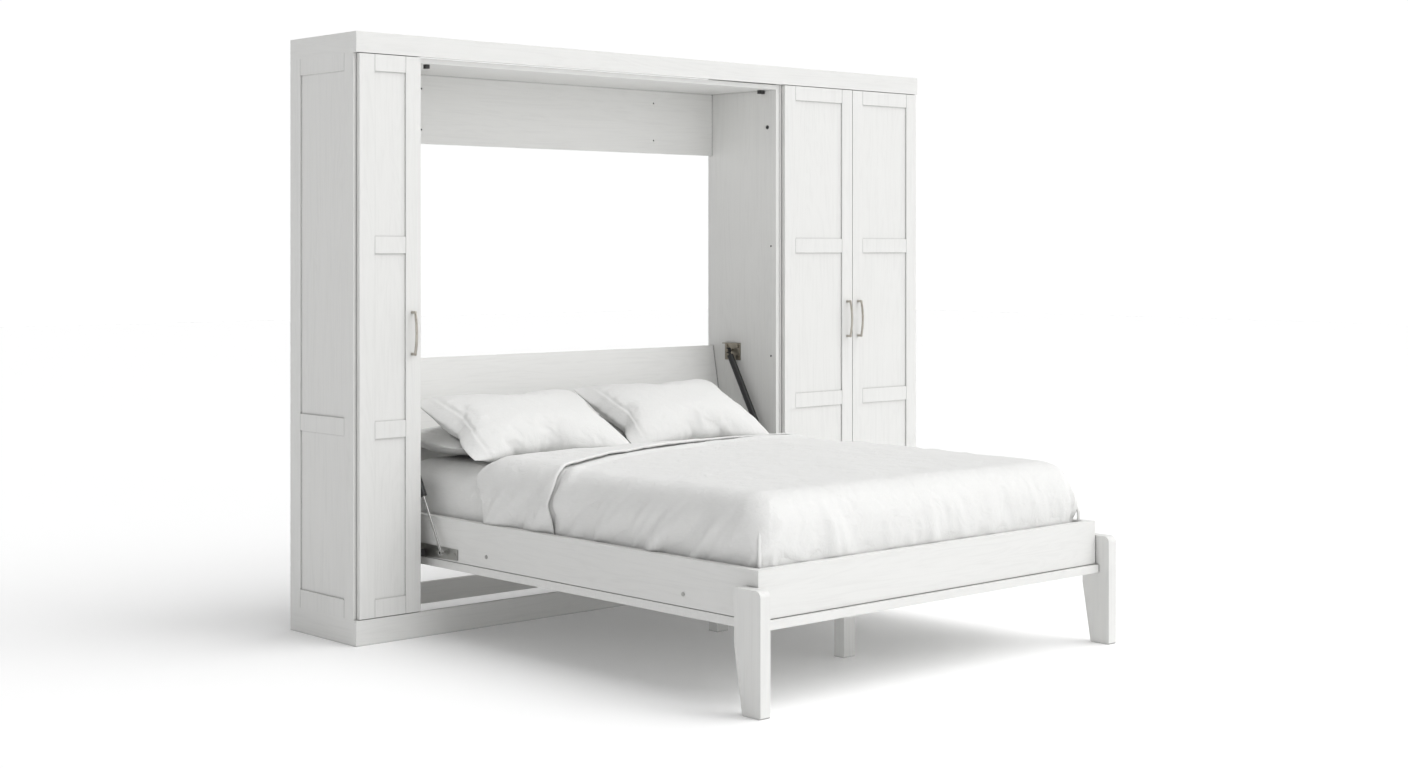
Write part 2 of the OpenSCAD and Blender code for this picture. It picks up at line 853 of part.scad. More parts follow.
top_board();
front_fascia();
fascia_returns();
plinth_front();
plinth_returns();
left_side_panel();
right_side_panel();
pier_inner_panel();
bay_left_panel();
bay_right_panel();
closet_inner_panel();
bay_ceiling();
upper_back_panel();
lower_back_rail();
pier_back();
closet_back();
pier_shelves();
closet_shelves();
hanging_rail();
pivot_plates();
pivot_bushes();
strut_brackets();
panel_bolts();
bed_catches();
door_hinges();
pier_door();
pier_handle();
closet_left_door();
closet_left_handle();
closet_right_door();
closet_right_handle();
headboard();
headboard_pins();
side_rail_left();
side_rail_right();
foot_board();
head_rail();
bottom_panel();
slat_bearers();
slats();
rail_plates();
rail_bolts();
leg_pins();
mattress();
fitted_sheet();
top_sheet();
duvet();
front_pillow_left();
front_pillow_right();
rear_pillow_left();
rear_pillow_right();
foot_leg_left();
foot_leg_right();
centre_leg_front();
centre_leg_rear();
strut_tube_left();
strut_rod_left();
strut_tube_right();
strut_rod_right();
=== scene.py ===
"""Murphy wall bed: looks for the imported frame. The CAD boards, legs and hardware keep their
shapes and get wood-grain laminate and metal finishes; the bedding is made here."""

import math

import bmesh
import bpy
import numpy as np
from mathutils import Matrix, Vector, noise


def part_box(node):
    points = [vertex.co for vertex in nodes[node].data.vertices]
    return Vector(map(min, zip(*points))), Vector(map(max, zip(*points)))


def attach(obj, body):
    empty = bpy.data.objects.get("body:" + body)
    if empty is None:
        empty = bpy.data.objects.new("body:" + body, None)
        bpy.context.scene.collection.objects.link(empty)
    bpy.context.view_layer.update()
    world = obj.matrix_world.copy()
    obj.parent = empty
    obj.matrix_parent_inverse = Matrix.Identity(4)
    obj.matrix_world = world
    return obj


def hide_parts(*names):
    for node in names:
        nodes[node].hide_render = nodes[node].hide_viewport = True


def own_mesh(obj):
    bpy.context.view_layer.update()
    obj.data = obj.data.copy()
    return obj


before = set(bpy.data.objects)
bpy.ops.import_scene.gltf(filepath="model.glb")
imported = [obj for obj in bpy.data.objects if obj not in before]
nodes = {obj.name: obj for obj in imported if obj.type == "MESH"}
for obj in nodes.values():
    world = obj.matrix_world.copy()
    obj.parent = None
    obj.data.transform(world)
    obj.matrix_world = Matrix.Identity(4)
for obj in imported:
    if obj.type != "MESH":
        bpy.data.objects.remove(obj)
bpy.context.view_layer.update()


def cad(x, y, z):
    """A point given in millimetres from the cabinet's left front corner, in the frame's metres."""
    plinth_low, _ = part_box("plinth_front")
    return Vector((plinth_low[0] + x / 1000, plinth_low[1] + y / 1000, z / 1000))


# ---------------------------------------------------------------- materials

def new_material(name):
    material = bpy.data.materials.new(name)
    material.use_nodes = True
    tree = material.node_tree
    shader = tree.nodes["Principled BSDF"]
    return material, tree, shader


def node(tree, kind, **values):
    made = tree.nodes.new(kind)
    for key, value in values.items():
        if key in made.inputs:
            made.inputs[key].default_value = value
        else:
            setattr(made, key, value)
    return made


def stretched(tree, scale):
    """Object coordinates, scaled differently along each axis."""
    place = tree.nodes.new("ShaderNodeTexCoord")
    mapping = tree.nodes.new("ShaderNodeMapping")
    mapping.inputs["Scale"].default_value = scale
    tree.links.new(place.outputs["Object"], mapping.inputs["Vector"])
    return mapping.outputs["Vector"]


def ramp(tree, source, stops):
    made = tree.nodes.new("ShaderNodeValToRGB")
    elements = made.color_ramp.elements
    while len(elements) < len(stops):
        elements.new(0.5)
    for element, (at, colour) in zip(elements, stops):
        element.position = at
        element.color = (*colour, 1) if len(colour) == 3 else colour
    tree.links.new(source, made.inputs["Fac"])
    return made.outputs["Color"]


def calculate(tree, operation, *values):
    """The result of a maths node on sockets or numbers."""
    made = node(tree, "ShaderNodeMath", operation=operation)
    for slot, value in enumerate(values):
        if isinstance(value, float):
            made.inputs[slot].default_value = value
        else:
            tree.links.new(value, made.inputs[slot])
    return made.outputs[0]


def remap(tree, source, span, onto):
    """The source, moved from one range of values onto another and held inside it."""
    made = tree.nodes.new("ShaderNodeMapRange")
    made.inputs["From Min"].default_value = span[0]
    made.inputs["From Max"].default_value = span[1]
    made.inputs["To Min"].default_value = onto[0]
    made.inputs["To Max"].default_value = onto[1]
    tree.links.new(source, made.inputs["Value"])
    return made.outputs["Result"]


def tint(colour, factor):
    return tuple(min(c * factor, 1) for c in colour)


def bump(tree, shader, height, strength, distance, under=None):
    made = node(tree, "ShaderNodeBump", Strength=strength, Distance=distance)
    tree.links.new(height, made.inputs["Height"])
    if under is not None:
        tree.links.new(under, made.inputs["Normal"])
    tree.links.new(made.outputs["Normal"], shader.inputs["Normal"])
    return made.outputs["Normal"]


def painted_crevice_shade(tree, colour, reach, dark):
    """The colour, darkened by painted shade where surfaces meet within reach metres."""
    near = node(tree, "ShaderNodeAmbientOcclusion", Distance=reach)
    near.samples = 4
    share = remap(tree, near.outputs["AO"], (0.25, 0.85), (dark, 1.0))
    mixed = tree.nodes.new("ShaderNodeVectorMath")
    mixed.operation = "SCALE"
    tree.links.new(colour, mixed.inputs[0])
    tree.links.new(share, mixed.inputs["Scale"])
    return mixed.outputs["Vector"]


def laminate(name, grain, base, streak=0.035):
    """Matt white wood-grain laminate. grain is the axis the grain runs along, 0, 1 or 2."""
    material, tree, shader = new_material(name)
    fine = [95.0, 95.0, 95.0]
    fine[grain] = 3.2
    broad = [9.0, 9.0, 9.0]
    broad[grain] = 0.8
    pores = [420.0, 420.0, 420.0]
    pores[grain] = 14.0
    lines = node(tree, "ShaderNodeTexNoise", Scale=1.0, Detail=5.0, Roughness=0.62)
    tree.links.new(stretched(tree, fine), lines.inputs["Vector"])
    figure = node(tree, "ShaderNodeTexNoise", Scale=1.0, Detail=3.0, Distortion=1.6)
    tree.links.new(stretched(tree, broad), figure.inputs["Vector"])
    rings = calculate(tree, "MULTIPLY", figure.outputs["Fac"], 9.0)
    wave = calculate(tree, "PINGPONG", rings, 0.5)
    pore = node(tree, "ShaderNodeTexNoise", Scale=1.0, Detail=2.0)
    tree.links.new(stretched(tree, pores), pore.inputs["Vector"])
    both = calculate(tree, "MULTIPLY_ADD", wave, 0.55, lines.outputs["Fac"])
    dark = tint(base, 1 - streak)
    light = tint(base, 1 + streak * 0.5)
    colour = ramp(tree, both, [(0.38, dark), (0.62, base), (0.95, light)])
    # Painted shade: the grain colour is darkened in crevices, joints and recesses within 8 mm.
    tree.links.new(painted_crevice_shade(tree, colour, 0.008, 0.45), shader.inputs["Base Color"])
    rough = ramp(tree, lines.outputs["Fac"], [(0.3, (0.52,) * 3), (0.7, (0.62,) * 3)])
    tree.links.new(rough, shader.inputs["Roughness"])
    shader.inputs["Specular IOR Level"].default_value = 0.35
    first = bump(tree, shader, both, 0.12, 0.0006)
    bump(tree, shader, pore.outputs["Fac"], 0.10, 0.0002, first)
    return material


def metal(name, base, roughness, scratch_axis=2, strength=0.05):
    material, tree, shader = new_material(name)
    scale = [900.0, 900.0, 900.0]
    scale[scratch_axis] = 25.0
    brush = node(tree, "ShaderNodeTexNoise", Scale=1.0, Detail=3.0)
    tree.links.new(stretched(tree, scale), brush.inputs["Vector"])
    cloud = node(tree, "ShaderNodeTexNoise", Scale=45.0, Detail=4.0)
    tree.links.new(stretched(tree, (1, 1, 1)), cloud.inputs["Vector"])
    colour = ramp(tree, cloud.outputs["Fac"], [(0.3, tint(base, 0.9)), (0.7, tint(base, 1.05))])
    tree.links.new(colour, shader.inputs["Base Color"])
    shader.inputs["Metallic"].default_value = 1.0
    rough = ramp(tree, brush.outputs["Fac"],
                 [(0.3, (roughness * 0.8,) * 3), (0.7, (roughness * 1.25,) * 3)])
    tree.links.new(rough, shader.inputs["Roughness"])
    bump(tree, shader, brush.outputs["Fac"], strength, 0.0003)
    return material


def plastic(name, base, roughness):
    material, tree, shader = new_material(name)
    grain = node(tree, "ShaderNodeTexNoise", Scale=1400.0, Detail=2.0)
    tree.links.new(stretched(tree, (1, 1, 1)), grain.inputs["Vector"])
    colour = ramp(tree, grain.outputs["Fac"], [(0.3, tint(base, 0.85)), (0.7, tint(base, 1.1))])
    tree.links.new(colour, shader.inputs["Base Color"])
    shader.inputs["Roughness"].default_value = roughness
    bump(tree, shader, grain.outputs["Fac"], 0.08, 0.0002)
    return material


def cotton(name, base, crumple=0.35, weave=0.22):
    """Plain woven cotton: thread weave, slubs, soft crumples and a little sheen."""
    material, tree, shader = new_material(name)
    warp = node(tree, "ShaderNodeTexWave", wave_type="BANDS", bands_direction="X", Scale=420.0,
                Distortion=0.6, Detail=1.0)
    weft = node(tree, "ShaderNodeTexWave", wave_type="BANDS", bands_direction="Y", Scale=420.0,
                Distortion=0.6, Detail=1.0)
    for threads in (warp, weft):
        tree.links.new(stretched(tree, (1, 1, 1)), threads.inputs["Vector"])
    cloth = calculate(tree, "MULTIPLY", warp.outputs["Fac"], weft.outputs["Fac"])
    slub = node(tree, "ShaderNodeTexNoise", Scale=1.0, Detail=4.0)
    tree.links.new(stretched(tree, (260.0, 30.0, 260.0)), slub.inputs["Vector"])
    crease = node(tree, "ShaderNodeTexNoise", Scale=16.0, Detail=6.0, Roughness=0.55,
                  Distortion=0.8)
    tree.links.new(stretched(tree, (1, 1, 1)), crease.inputs["Vector"])
    colour = ramp(tree, slub.outputs["Fac"], [(0.25, tint(base, 0.972)), (0.75, tint(base, 1.01))])
    # Painted shade: the cotton's colour is darkened in its creases, tucks and folds within 12 mm.
    tree.links.new(painted_crevice_shade(tree, colour, 0.012, 0.55), shader.inputs["Base Color"])
    shader.inputs["Roughness"].default_value = 0.88
    shader.inputs["Specular IOR Level"].default_value = 0.2
    shader.inputs["Sheen Weight"].default_value = 0.15
    shader.inputs["Sheen Roughness"].default_value = 0.5
    first = bump(tree, shader, crease.outputs["Fac"], crumple, 0.006)
    second = bump(tree, shader, slub.outputs["Fac"], 0.12, 0.0004, first)
    bump(tree, shader, cloth, weave, 0.0003, second)
    return material


WHITE = (0.735, 0.735, 0.722)
CARCASS = (0.72, 0.72, 0.707)
# Painted light: a lighter copy of the white laminate for the headboard, lifting the shade it gets
# inside the bay.
HEADBOARD_LIFTED_WHITE = (0.79, 0.79, 0.776)
upright_grain = laminate("laminate_upright", 2, WHITE)
long_grain = laminate("laminate_long", 0, WHITE)
deep_grain = laminate("laminate_deep", 1, WHITE)
carcass_grain = laminate("laminate_carcass", 2, CARCASS)
zinc = metal("zinc_plate", (0.40, 0.40, 0.385), 0.40)
nickel = metal("brushed_nickel", (0.47, 0.445, 0.40), 0.26)
aged = metal("aged_zinc", (0.33, 0.30, 0.25), 0.42, strength=0.12)
chrome = metal("chrome_rod", (0.50, 0.50, 0.49), 0.16, strength=0.02)
black_metal = plastic("black_enamel", (0.022, 0.022, 0.023), 0.32)
black_plastic = plastic("black_plastic", (0.03, 0.03, 0.03), 0.55)
birch = laminate("birch_slat", 0, (0.66, 0.53, 0.36), streak=0.14)
linen = cotton("white_cotton", (0.765, 0.765, 0.755), crumple=0.9)
pillow_cotton = cotton("pillow_cotton", (0.735, 0.735, 0.725), crumple=0.7)
ticking = cotton("ticking", (0.80, 0.79, 0.77), crumple=0.15, weave=0.5)

# Painted light: the headboard's laminate is lighter than the same board elsewhere, making up for its
# shade in the bay.
headboard_lifted_grain = laminate("laminate_headboard_painted_light", 0, HEADBOARD_LIFTED_WHITE)

# The CAD nodes that stay, by finish; any other keeps the upright grain
finishes = {
    "pier_inner_panel": carcass_grain, "closet_inner_panel": carcass_grain,
    "lower_back_rail": long_grain, "pier_back": carcass_grain, "closet_back": carcass_grain,
    "top_board": long_grain, "front_fascia": long_grain, "fascia_returns": deep_grain,
    "plinth_front": long_grain, "plinth_returns": deep_grain, "bay_ceiling": long_grain,
    "upper_back_panel": long_grain, "pier_shelves": long_grain, "closet_shelves": long_grain,
    "hanging_rail": chrome, "pivot_plates": zinc, "pivot_bushes": black_plastic,
    "strut_brackets": aged, "panel_bolts": black_metal, "bed_catches": black_plastic,
    "door_hinges": zinc, "pier_handle": nickel, "closet_left_handle": nickel,
    "closet_right_handle": nickel, "headboard": headboard_lifted_grain, "headboard_pins": zinc,
    "side_rail_left": deep_grain, "side_rail_right": deep_grain, "foot_board": long_grain,
    "head_rail": long_grain, "bottom_panel": long_grain, "slat_bearers": deep_grain,
    "slats": birch, "rail_plates": zinc, "rail_bolts": zinc, "leg_pins": zinc,
    "strut_tube_left": black_metal, "strut_tube_right": black_metal,
    "strut_rod_left": chrome, "strut_rod_right": chrome,
}
for name, made in nodes.items():
    made.data.materials.clear()
    made.data.materials.append(finishes.get(name, upright_grain))


# ---------------------------------------------------------------- bedding

def mesh_object(name, points, faces, material, smooth=True):
    data = bpy.data.meshes.new(name)
    data.from_pydata([tuple(p) for p in points], [], faces)
    data.update()
    made = bpy.data.objects.new(name, data)
    bpy.context.scene.collection.objects.link(made)
    data.materials.append(material)
    for face in data.polygons:
        face.use_smooth = smooth
    return made


def apply_modifiers(made):
    dg = bpy.context.evaluated_depsgraph_get()
    dg.update()
    data = bpy.data.meshes.new_from_object(made.evaluated_get(dg))
    made.modifiers.clear()
    made.data = data
    return made


def fractal(p, size, octaves=3, seed=0.0):
    """Smooth noise from -1 to 1 about size metres across."""
    q = Vector((p[0] / size + seed, p[1] / size - seed, p[2] / size + 2 * seed))
    return noise.fractal(q, 1.0, 2.0, octaves, noise_basis="PERLIN_ORIGINAL")


def cap_faces(vertex, nx, ny, nz, head):
    """Faces of a box's grid of vertices: its top, sides, foot and, if asked, its head."""
    faces = []
    for i in range(nx):
        for j in range(ny):
            faces.append([vertex(i, j, nz), vertex(i + 1, j, nz),
                          vertex(i + 1, j + 1, nz), vertex(i, j + 1, nz)])
    for k in range(nz):
        for j in range(ny):
            faces.append([vertex(0, j + 1, k), vertex(0, j, k),
                          vertex(0, j, k + 1), vertex(0, j + 1, k + 1)])
            faces.append([vertex(nx, j, k), vertex(nx, j + 1, k),
                          vertex(nx, j + 1, k + 1), vertex(nx, j, k + 1)])
        for i in range(nx):
            faces.append([vertex(i, 0, k), vertex(i + 1, 0, k),
                          vertex(i + 1, 0, k + 1), vertex(i, 0, k + 1)])
            if head:
                faces.append([vertex(i + 1, ny, k), vertex(i, ny, k),
                              vertex(i, ny, k + 1), vertex(i + 1, ny, k + 1)])
    return faces


def rounded_cap(low, high, radius, step):
    """Points and faces of a box's top and four sides, with rounded edges, open below."""
    size = high - low
    nx, ny, nz = (max(2, round(s / step)) for s in size)
    index = {}
    points = []

    def vertex(i, j, k):
        if (i, j, k) not in index:
            p = Vector((low.x + size.x * i / nx, low.y + size.y * j / ny, low.z + size.z * k / nz))
            q = Vector((min(max(p.x, low.x + radius), high.x - radius),
                        min(max(p.y, low.y + radius), high.y - radius),
                        min(p.z, high.z - radius)))
            d = p - q
            if d.length > 1e-9:
                p = q + d.normalized() * radius
            index[(i, j, k)] = len(points)
            points.append(p)
        return index[(i, j, k)]

    faces = cap_faces(vertex, nx, ny, nz, head=True)
    return points, faces


duvet_low, duvet_high = (Vector(c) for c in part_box("duvet"))
sheet_low, sheet_high = (Vector(c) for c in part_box("fitted_sheet"))
mattress_low, mattress_high = (Vector(c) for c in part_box("mattress"))
RAIL_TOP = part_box("side_rail_left")[1][2]
TUCK_Z = 0.405
TOP_Z = 0.664
SHEET_LOW_Z = 0.36
EDGE_ROUND = 0.102
TUCK_ROUND = 0.022
MATTRESS_ROUND = 0.100
MATTRESS_STEP = 0.02
SHEET_STEP = 0.012
DUVET_STEP = 0.008
UNDER_TURNDOWN = 0.36
duvet_low.z = TUCK_Z
duvet_high.z = TOP_Z


def smooth(t):
    t = min(max(t, 0.0), 1.0)
    return t * t * (3 - 2 * t)


CROWN_REACH = 0.40
CROWN_FALL = 0.006


def crown(p):
    """How far the bedding's top falls away towards its sides and foot."""
    near = min(p.x - duvet_low.x, duvet_high.x - p.x, p.y - duvet_low.y)
    return -CROWN_FALL * (1 - smooth(near / CROWN_REACH))


def corner_radius(z):
    """Plan radius of the duvet's foot corners: full at the top, tight down at the tuck."""
    return TUCK_ROUND + (EDGE_ROUND - TUCK_ROUND) * smooth((z - 0.46) / 0.10)


def top_share(z):
    """1 on the bedding's top, 0 from half-way down its sides."""
    return smooth((z - 0.50) / 0.11)


def crowned(p):
    """The move that gives the bedding's top its crown at p."""
    return Vector((0, 0, crown(p) * top_share(p.z)))


# How far the foot's folds reach back over the top
FOOT_FOLDS = 0.60


def duvet_relief(p):
    """How far the filled cover stands out from its plain shape at p, in metres."""
    left, right = p.x - duvet_low.x, duvet_high.x - p.x
    foot = p.y - duvet_low.y
    side = min(left, right)
    down = smooth((TOP_Z - 0.03 - p.z) / 0.10)
    broad = 0.0042 * fractal(p, 0.40, 2, 3.0)
    fine = 0.0020 * fractal(p, 0.09, 3, 8.0)
    belly = 0.007 * math.sin(math.pi * smooth((p.z - TUCK_Z) / (TOP_Z - TUCK_Z))) * down
    pull = 0.0
    if side < 0.22 and side < foot + 0.05:
        across = 0.77 * p.y + 0.64 * p.z
        along = 0.64 * p.y - 0.77 * p.z
        folds = noise.noise(Vector((across / 0.080, along / 0.34, 4.0 + (left > right))))
        folds += 0.35 * noise.noise(Vector((across / 0.030, along / 0.16, 9.0)))
        pull += 0.026 * folds * smooth(1 - side / 0.22) * (0.35 + 0.65 * down)
    if foot < FOOT_FOLDS and foot <= side + 0.05:
        across = p.x + 0.28 * p.z + 0.10 * p.y
        folds = noise.noise(Vector((across / 0.105, (p.z + foot) / 0.30, 2.0)))
        folds += 0.4 * noise.noise(Vector((across / 0.034, (p.z + foot) / 0.20, 6.0)))
        patch = smooth(0.5 + 1.4 * noise.noise(Vector((p.x / 0.3, p.z / 0.3, 12.0))))
        pull += 0.010 * patch * folds * smooth(1 - foot / FOOT_FOLDS) * (0.3 + 0.7 * down)
    scallop = 0.0
    if p.z < RAIL_TOP + 0.05:
        run = p.y if side < foot else p.x
        gather = 0.5 + 0.5 * math.sin(run / 0.021 + 2.4 * noise.noise(Vector((run * 5, 0, 0))))
        scallop = -0.006 * gather * smooth((RAIL_TOP + 0.05 - p.z) / 0.05)
    return broad + fine + belly + pull + scallop


def beside_turndown(p):
    """The crease in the cover along the edge of its turned-down part, and the swell beyond it."""
    out = free_edge(p.x, p.z) - p.y
    crease = smooth(1 - abs(out - 0.004) / 0.016)
    swell = smooth(1 - abs(out - 0.055) / 0.045)
    return 0.007 * swell - 0.014 * crease


def make_duvet():
    """The cover's top, sides and foot as one sheet, with tight mitred corners at the foot."""
    low = duvet_low
    high = Vector((duvet_high.x, duvet_high.y + UNDER_TURNDOWN, TOP_Z))
    size = high - low
    nx, ny, nz = (round(s / DUVET_STEP) for s in size)
    index = {}
    points = []

    def vertex(i, j, k):
        if (i, j, k) in index:
            return index[(i, j, k)]
        p = Vector((low.x + size.x * i / nx, low.y + size.y * j / ny, low.z + size.z * k / nz))
        r = corner_radius(p.z)
        q = Vector((min(max(p.x, low.x + r), high.x - r), max(p.y, low.y + r),
                    min(p.z, high.z - EDGE_ROUND)))
        n = (p - q).normalized() if k < nz or (p - q).length > 1e-6 else Vector((0, 0, 1))
        if p.z > high.z - EDGE_ROUND:
            p = q + n * r
        else:
            p = q + Vector((n.x, n.y, 0)).normalized() * r
        index[(i, j, k)] = len(points)
        stand = duvet_relief(p) + beside_turndown(p)
        points.append(p + n * stand + crowned(p))
        return index[(i, j, k)]

    faces = cap_faces(vertex, nx, ny, nz, head=False)
    return mesh_object("duvet_cover", points, faces, linen)


MITRE_Z = (0.572, 0.412)
# The part of its radius by which a round corner lies inside a square one, along each side
CORNER_SHARE = 0.293


def make_mitre(name, side):
    """The folded edge that runs down a foot corner where the cover's side laps over its foot."""
    rings, around = 26, 10
    points, faces = [], []
    x0 = duvet_low.x if side < 0 else duvet_high.x
    for i in range(rings + 1):
        t = i / rings
        z = MITRE_Z[0] + (MITRE_Z[1] - MITRE_Z[0]) * t
        grow = smooth(t / 0.25)
        inset = CORNER_SHARE * corner_radius(z)
        centre = Vector((x0 - side * (inset - 0.002), duvet_low.y + inset - 0.003, z))
        wide = 0.0065 * grow + 0.0004
        thin = 0.0045 * grow + 0.0004
        for j in range(around):
            a = 2 * math.pi * j / around
            points.append(centre + Vector((wide * math.cos(a), thin * math.sin(a), 0)))
    for i in range(rings):
        for j in range(around):
            k = (j + 1) % around
            faces.append([i * around + j, i * around + k, (i + 1) * around + k, (i + 1) * around + j])
    faces.append(list(range(around)))
    faces.append(list(range(rings * around, (rings + 1) * around))[::-1])
    return mesh_object(name, points, faces, linen)


def section(a):
    """The cover's cross-section: a runs from the left tuck (0) over the top to the right (1)."""
    upright = TOP_Z - EDGE_ROUND - TUCK_Z
    bend = EDGE_ROUND * math.pi / 2
    flat = duvet_high.x - duvet_low.x - 2 * EDGE_ROUND
    s = a * (2 * upright + 2 * bend + flat)
    if s < upright:
        return Vector((duvet_low.x, 0, TUCK_Z + s)), Vector((-1, 0, 0))
    s -= upright
    if s < bend:
        t = s / EDGE_ROUND
        n = Vector((-math.cos(t), 0, math.sin(t)))
        centre = Vector((duvet_low.x + EDGE_ROUND, 0, TOP_Z - EDGE_ROUND))
        return centre + n * EDGE_ROUND, n
    s -= bend
    if s < flat:
        return Vector((duvet_low.x + EDGE_ROUND + s, 0, TOP_Z)), Vector((0, 0, 1))
    s -= flat
    if s < bend:
        t = s / EDGE_ROUND
        n = Vector((math.sin(t), 0, math.cos(t)))
        centre = Vector((duvet_high.x - EDGE_ROUND, 0, TOP_Z - EDGE_ROUND))
        return centre + n * EDGE_ROUND, n
    s -= bend
    return Vector((duvet_high.x, 0, TOP_Z - EDGE_ROUND - s)), Vector((1, 0, 0))


def free_edge(x, z):
    """Where the turned-down part ends towards the foot, across the bed."""
    xs = [cad(x, 0, 0).x for x in (367, 380, 405, 450, 510, 600, 720, 1001, 1402, 1750, 1972)]
    ys = (-668, -664, -654, -628, -592, -546, -496, -398, -296, -268, -300)
    y = float(np.interp(x, xs, ys))
    drop = max(0.0, TOP_Z - 0.05 - z)
    left = x < 0.5 * (duvet_low.x + duvet_high.x)
    y -= (15 if left else 420) * drop
    return cad(0, y, 0).y


def make_turndown():
    """The cover's head end folded back over itself, with rounded edges and a gap under them."""
    across = 230
    thick = 0.0150
    lip = [(-0.026, 0.0015), (-0.012, 0.003), (0.0, 0.0042), (0.003, 0.0055), (0.0052, 0.0090),
           (0.0040, 0.0128), (0.0, thick)]
    inner = 34
    points, faces = [], []
    columns = 2 * len(lip) + inner
    for i in range(across + 1):
        a = i / across
        base, n = section(a)
        edge = free_edge(base.x, base.z) + 0.006 * noise.noise(Vector((base.x * 6, base.z * 6, 3)))
        head = cad(0, -215, 0).y if n.z > 0.7 else cad(0, -215 - 63 * smooth((0.7 - n.z) / 0.7), 0).y
        profile = [(edge - d, h) for d, h in lip]
        for m in range(1, inner + 1):
            t = m / (inner + 1)
            profile.append((edge + (head - edge) * t, thick))
        profile += [(head + d, h) for d, h in reversed(lip)]
        for y, h in profile:
            p = Vector((base.x, y, base.z))
            swell = 0.0016 * fractal(p, 0.16, 3, 21.0) + 0.0012 * fractal(p, 0.05, 2, 30.0)
            lift = h + (swell if h > 0.004 else 0.0)
            settle = -0.024 * smooth(1 - (head - y) / 0.10)
            points.append(p + n * (duvet_relief(p) + lift)
                          + Vector((0, 0, (crown(p) + settle) * top_share(p.z))))
    for i in range(across):
        for j in range(columns - 1):
            faces.append([i * columns + j, (i + 1) * columns + j,
                          (i + 1) * columns + j + 1, i * columns + j + 1])
    return mesh_object("turned_down_cover", points, faces, linen)


def make_mattress():
    low = mattress_low + Vector((0.001, 0.001, 0))
    high = mattress_high - Vector((0.001, 0.001, 0.001))
    points, faces = rounded_cap(low, high, MATTRESS_ROUND, MATTRESS_STEP)
    points = [p + crowned(p) for p in points]
    made = mesh_object("mattress_body", points, faces, ticking)
    bm = bmesh.new()
    bm.from_mesh(made.data)
    bmesh.ops.holes_fill(bm, edges=[e for e in bm.edges if e.is_boundary])
    bm.to_mesh(made.data)
    bm.free()
    return made


def make_fitted_sheet():
    low = Vector((sheet_low.x + 0.0005, sheet_low.y + 0.0005, SHEET_LOW_Z))
    high = Vector((sheet_high.x - 0.0005, sheet_high.y, sheet_high.z))
    points, faces = rounded_cap(low, high, MATTRESS_ROUND, SHEET_STEP)
    points = [p + crowned(p) for p in points]
    made = mesh_object("fitted_sheet_cloth", points, faces, linen)
    normals = [v.normal.copy() for v in made.data.vertices]
    for v, n in zip(made.data.vertices, normals):
        p = v.co.copy()
        stand = 0.5 * (1 + noise.noise(Vector((p.x / 0.20, p.y / 0.11, p.z / 0.5))))
        v.co = p + n * (0.0035 * stand * smooth((0.61 - p.z) / 0.05) + 0.0004)
    return made


PILLOW_STEP = 0.0105
BAND_COLUMNS = round(0.075 / PILLOW_STEP)
PRESSURE = 4.2
SIM_FRAMES = 19
EVEN_SHARE = 0.55


def make_pillow(name, size, seed):
    """A pillow in its case: two flat panels sewn round the rim, inflated by cloth simulation,
    then sized; the case's open end is a flatter band beyond a seam."""
    length, depth, thick = size
    flat_length, flat_depth = length, depth * 1.08
    nx, ny = round(flat_length / PILLOW_STEP), round(flat_depth / PILLOW_STEP)
    bm = bmesh.new()
    made_at = {}

    def corner(i, j, side):
        rim = i in (0, nx) or j in (0, ny)
        key = (i, j, 0 if rim else side)
        if key not in made_at:
            u, w = 2 * i / nx - 1, 2 * j / ny - 1
            x = 0.5 * flat_length * u * (1 + 0.045 * (1 - w * w) - 0.04 * (u * w) ** 6)
            y = 0.5 * flat_depth * w * (1 + 0.10 * (1 - u ** 4) - 0.08 * (u * w) ** 6)
            z = 0.0 if rim else (0.006 if side else -0.006)
            z += 0.0025 * noise.noise(Vector((x * 13 + seed, y * 13, side * 9.0)))
            made_at[key] = bm.verts.new((x, y, z))
        return made_at[key]

    for side in (0, 1):
        for i in range(nx):
            for j in range(ny):
                quad = [corner(i, j, side), corner(i + 1, j, side),
                        corner(i + 1, j + 1, side), corner(i, j + 1, side)]
                if bm.faces.get(quad) is None:
                    bm.faces.new(quad if side else quad[::-1])
    bm.verts.index_update()
    grid = {key: v.index for key, v in made_at.items()}
    data = bpy.data.meshes.new(name)
    bm.to_mesh(data)
    bm.free()
    made = bpy.data.objects.new(name, data)
    bpy.context.scene.collection.objects.link(made)
    inflate(made)
    fit_to(made, size)
    fill_out(made, grid, nx, ny, size)
    gather(made, grid, nx, ny, seed)
    flatten_band(made, grid, ny)
    made.data.materials.clear()
    made.data.materials.append(pillow_cotton)
    fit_to(made, (length, depth, thick))
    smooth_over(made)
    return made


def inflate(made):
    cloth = made.modifiers.new("cloth", "CLOTH")
    settings = cloth.settings
    settings.quality = 6
    settings.mass = 0.2
    settings.tension_stiffness = 14
    settings.compression_stiffness = 14
    settings.shear_stiffness = 6
    settings.bending_stiffness = 0.6
    settings.use_pressure = True
    settings.uniform_pressure_force = PRESSURE
    settings.effector_weights.gravity = 0
    cloth.point_cache.frame_start = 1
    cloth.point_cache.frame_end = SIM_FRAMES
    for at in range(1, SIM_FRAMES + 1):
        bpy.context.scene.frame_set(at)
    apply_modifiers(made)
    bpy.context.scene.frame_set(1)


def fill_out(made, grid, nx, ny, size):
    """Draw the inflated case towards a full, even pillow, which softens its deepest folds."""
    length, depth, thick = size
    for (i, j, side), index in grid.items():
        u, w = 2 * i / nx - 1, 2 * j / ny - 1
        rise = max(0.0, 1 - abs(u) ** 3.2) ** 0.6 * max(0.0, 1 - abs(w) ** 2.6) ** 0.6
        even = Vector((0.5 * length * u * (1 - 0.03 * (1 - w * w)),
                       0.5 * depth * w * (1 - 0.05 * (1 - u * u)),
                       0.5 * thick * rise * (1 if side else -1)))
        v = made.data.vertices[index]
        v.co = v.co.lerp(even, EVEN_SHARE)


